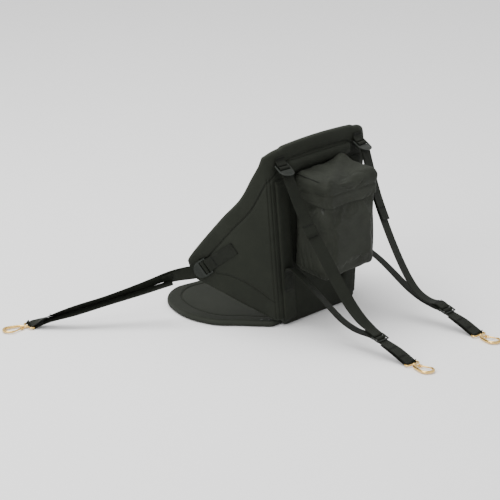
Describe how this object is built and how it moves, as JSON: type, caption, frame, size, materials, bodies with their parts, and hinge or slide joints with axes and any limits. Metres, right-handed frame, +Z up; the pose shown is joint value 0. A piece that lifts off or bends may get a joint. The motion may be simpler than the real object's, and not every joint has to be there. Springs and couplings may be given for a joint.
{
  "type": "kayak seat",
  "caption": "Clip-in seat with a padded base, a winged folding backrest, a rear storage bag and webbing straps that end in snap hooks.",
  "frame": {"origin": "centre of the base's flat underside", "axes": "+Z up; the sitter faces -Y, so the bag and rear straps are towards +Y; the sitter's left is +X"},
  "size_m": [1.241, 0.9794, 0.467],
  "materials": {
    "moulded_foam": "matt, cloth-faced foam",
    "bag_fabric": "woven, slightly glossy",
    "webbing": "ribbed weave",
    "plastic": "satin",
    "zip_pull": "satin",
    "brass": "polished"
  },
  "bodies": {
    "seat": {"backrest_pad": "moulded_foam", "bag_body": "bag_fabric", "bag_lid": "bag_fabric", "bag_zip_pull": "zip_pull", "corner_rivet_left_front": "plastic", "corner_rivet_left_rear": "plastic", "corner_rivet_right_front": "plastic", "corner_rivet_right_rear": "plastic", "cross_band": "moulded_foam", "front_strap_left": "webbing", "front_strap_right": "webbing", "gate_pin_front_left": "brass", "gate_pin_front_right": "brass", "gate_pin_rear_left": "brass", "gate_pin_rear_right": "brass", "hinge_tape": "bag_fabric", "hook_front_left": "brass", "hook_front_right": "brass", "hook_rear_left": "brass", "hook_rear_right": "brass", "ladder_lock_top_left": "plastic", "ladder_lock_top_right": "plastic", "ladder_lock_wing_left": "plastic", "ladder_lock_wing_right": "plastic", "rear_lower_strap_left": "webbing", "rear_lower_strap_right": "webbing", "rear_upper_strap_left": "webbing", "rear_upper_strap_right": "webbing", "seat_base": "moulded_foam", "stay_batten_left": "plastic", "stay_batten_right": "plastic", "stay_sleeve_left": "moulded_foam", "stay_sleeve_right": "moulded_foam", "strap_slider_left": "plastic", "strap_slider_right": "plastic", "top_anchor_left": "webbing", "top_anchor_right": "webbing", "wing_anchor_left": "webbing", "wing_anchor_right": "webbing"},
    "gate_front_left": {"hook_gate_front_left": "brass"},
    "gate_front_right": {"hook_gate_front_right": "brass"},
    "gate_rear_left": {"hook_gate_rear_left": "brass"},
    "gate_rear_right": {"hook_gate_rear_right": "brass"}
  },
  "joints": [
    {"name": "gate_front_left_hinge", "type": "hinge", "parent": "seat", "child": "gate_front_left", "pos_m": [0.57239, -0.27544, 0.0047], "axis": [0, 0, -1], "range_deg": [0, 28], "stiffness_Nm_per_rad": 0.02, "springref_deg": -17.19},
    {"name": "gate_front_right_hinge", "type": "hinge", "parent": "seat", "child": "gate_front_right", "pos_m": [-0.56952, -0.28544, 0.0047], "axis": [0, 0, -1], "range_deg": [0, 28], "stiffness_Nm_per_rad": 0.02, "springref_deg": -17.19},
    {"name": "gate_rear_left_hinge", "type": "hinge", "parent": "seat", "child": "gate_rear_left", "pos_m": [0.12909, 0.62148, 0.0047], "axis": [0, 0, -1], "range_deg": [0, 28], "stiffness_Nm_per_rad": 0.02, "springref_deg": -17.19},
    {"name": "gate_rear_right_hinge", "type": "hinge", "parent": "seat", "child": "gate_rear_right", "pos_m": [-0.13091, 0.62148, 0.0047], "axis": [0, 0, -1], "range_deg": [0, 28], "stiffness_Nm_per_rad": 0.02, "springref_deg": -17.19}
  ]
}
